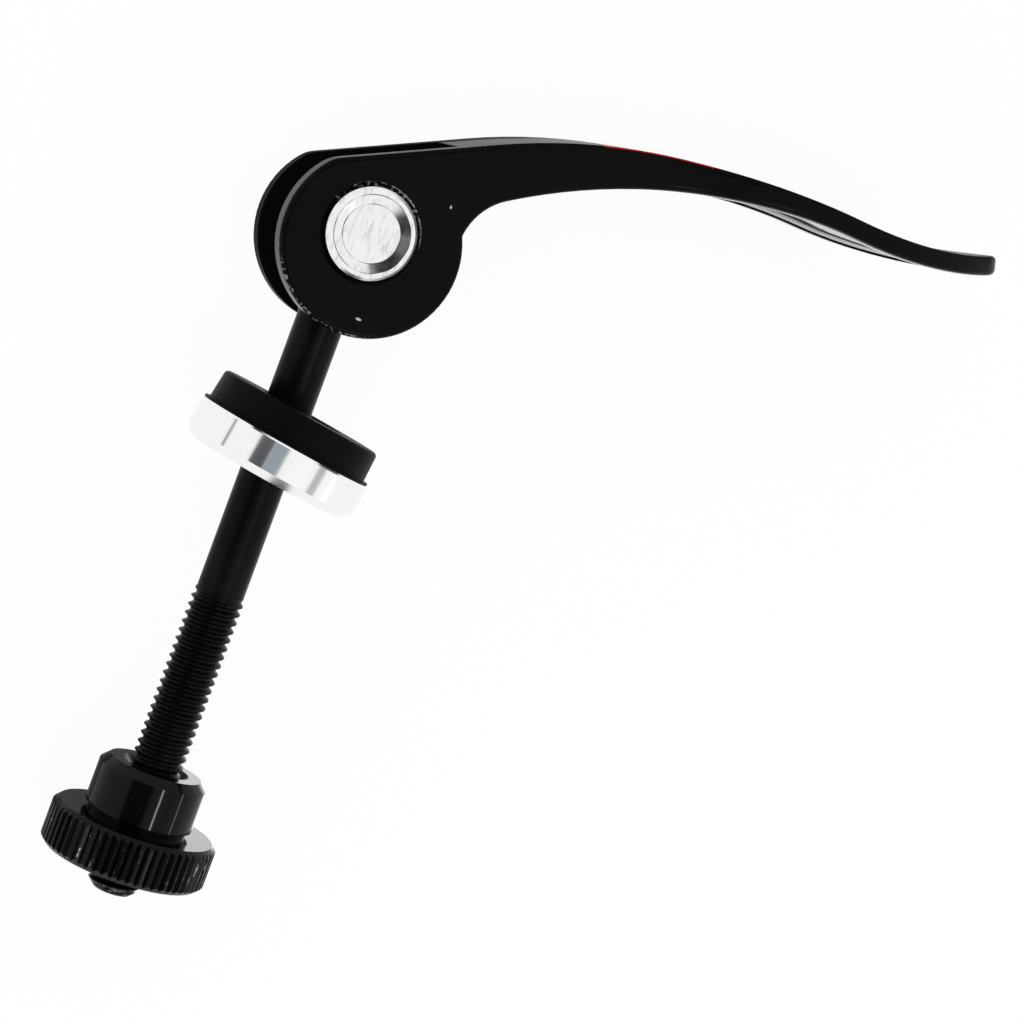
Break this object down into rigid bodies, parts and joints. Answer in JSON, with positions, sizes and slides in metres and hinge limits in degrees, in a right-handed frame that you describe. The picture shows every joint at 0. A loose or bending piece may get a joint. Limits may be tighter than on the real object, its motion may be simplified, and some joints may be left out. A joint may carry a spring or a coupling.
{
  "type": "quick release skewer",
  "caption": "Cam lever on a pivot pin and eye bolt, with a cup washer, cam follower and knurled nut, that squeezes a split seatpost collar shut.",
  "frame": {"origin": "on the bolt axis, midway between the cup washer's underside and the nut's boss face", "axes": "+Y up the bolt from the nut to the pivot, +X along the closed lever arm, +Z along the pivot pin, up when the skewer lies on its side"},
  "size_m": [0.0829, 0.1, 0.0204],
  "materials": {
    "lever_paint": "black semigloss paint over cast alloy",
    "pin_steel": "bright plated steel",
    "bolt_black": "black oxide steel",
    "washer_alloy": "polished",
    "follower_plastic": "matt black",
    "nut_black": "glossy black plating"
  },
  "bodies": {
    "bolt": {"eye_bolt": "bolt_black"},
    "handle": {"lever": "lever_paint", "pivot_pin": "pin_steel"},
    "washer": {"cup_washer": "washer_alloy", "cam_follower": "follower_plastic"},
    "nut": {"thumb_nut": "nut_black"}
  },
  "joints": [
    {"name": "lever_pivot", "type": "hinge", "parent": "bolt", "child": "handle", "pos_m": [0, 0.0455, 0], "axis": [0, 0, 1], "range_deg": [-30, 150]},
    {"name": "washer_slide", "type": "slide", "parent": "bolt", "child": "washer", "axis": [0, 1, 0], "range_m": [-0.0325, 0.0085]},
    {"name": "nut_turn", "type": "hinge", "parent": "bolt", "child": "nut", "pos_m": [0, -0.0227, 0], "axis": [0, 1, 0], "continuous": true}
  ]
}
